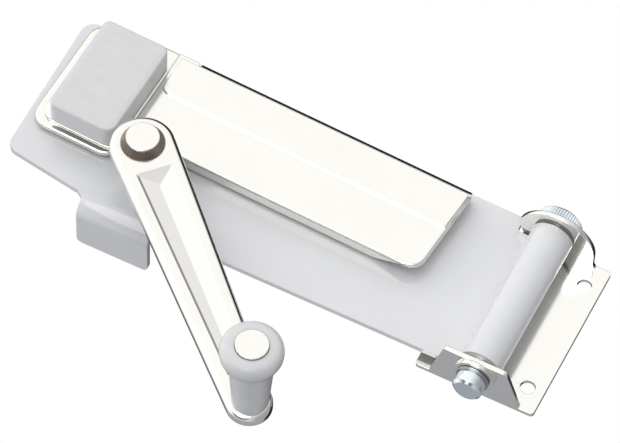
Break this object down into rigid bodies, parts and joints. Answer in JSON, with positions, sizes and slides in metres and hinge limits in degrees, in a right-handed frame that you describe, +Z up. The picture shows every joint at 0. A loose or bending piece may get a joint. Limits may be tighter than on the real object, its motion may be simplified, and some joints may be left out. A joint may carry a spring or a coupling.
{
  "type": "wall mounted can opener",
  "caption": "Hand-cranked can opener on a swing-out hinged wall bracket, with a lifting lever, cutting wheel, feed wheel and cranked knob, folded flat.",
  "frame": {"origin": "centre of the bracket's four screw holes on the face that meets the wall", "axes": "+Z up along the hinge pin, +Y into the wall, -Y out into the room, body reaching towards -X when folded"},
  "size_m": [0.1945, 0.0887, 0.1273],
  "materials": {
    "enamel": "gloss",
    "nickel": "polished nickel plate",
    "zinc": "bright zinc plate",
    "steel": "satin",
    "dark_steel": "oiled spring steel",
    "magnet": "matte",
    "white_plastic": "semi gloss",
    "knob_plastic": "satin"
  },
  "bodies": {
    "bracket": {"wall_bracket": "nickel", "hinge_pin": "zinc", "pin_retaining_ring": "dark_steel"},
    "body": {"body_frame": "enamel", "shaft_bushing": "steel", "lever_pivot_stud": "steel", "pivot_spacer": "steel", "pivot_back_washer": "zinc", "magnet_strap": "nickel", "lid_magnet": "magnet", "strap_rivets": "zinc", "magnet_rivet": "zinc"},
    "lever": {"lever": "nickel", "lever_cap": "white_plastic", "cutter_stud": "steel", "cutter_sleeve": "zinc", "cutter_screw": "zinc"},
    "cutter": {"cutter_wheel": "steel"},
    "crank": {"crank_shaft": "steel", "shaft_sleeve": "zinc", "feed_wheel": "steel", "feed_wheel_nut": "zinc", "crank_lock_washer": "dark_steel", "crank_arm": "nickel", "crank_nut": "nickel", "knob_stud": "nickel", "knob_washer": "zinc"},
    "knob": {"crank_knob": "knob_plastic"}
  },
  "joints": [
    {"name": "body_swing", "type": "hinge", "parent": "bracket", "child": "body", "pos_m": [0, -0.0112, 0], "axis": [0, 0, 1], "range_deg": [0, 120]},
    {"name": "lever_lift", "type": "hinge", "parent": "body", "child": "lever", "pos_m": [-0.152, -0.0115, 0.0104], "axis": [0, -1, 0], "range_deg": [0, 55]},
    {"name": "cutter_spin", "type": "hinge", "parent": "lever", "child": "cutter", "pos_m": [-0.1285, 0.0095, 0.0093], "axis": [0, -1, 0], "continuous": true},
    {"name": "crank_spin", "type": "hinge", "parent": "body", "child": "crank", "pos_m": [-0.1285, -0.0052, -0.0107], "axis": [0, -1, 0], "continuous": true},
    {"name": "knob_spin", "type": "hinge", "parent": "crank", "child": "knob", "pos_m": [-0.05427, -0.045, -0.08065], "axis": [0, -1, 0], "continuous": true}
  ]
}
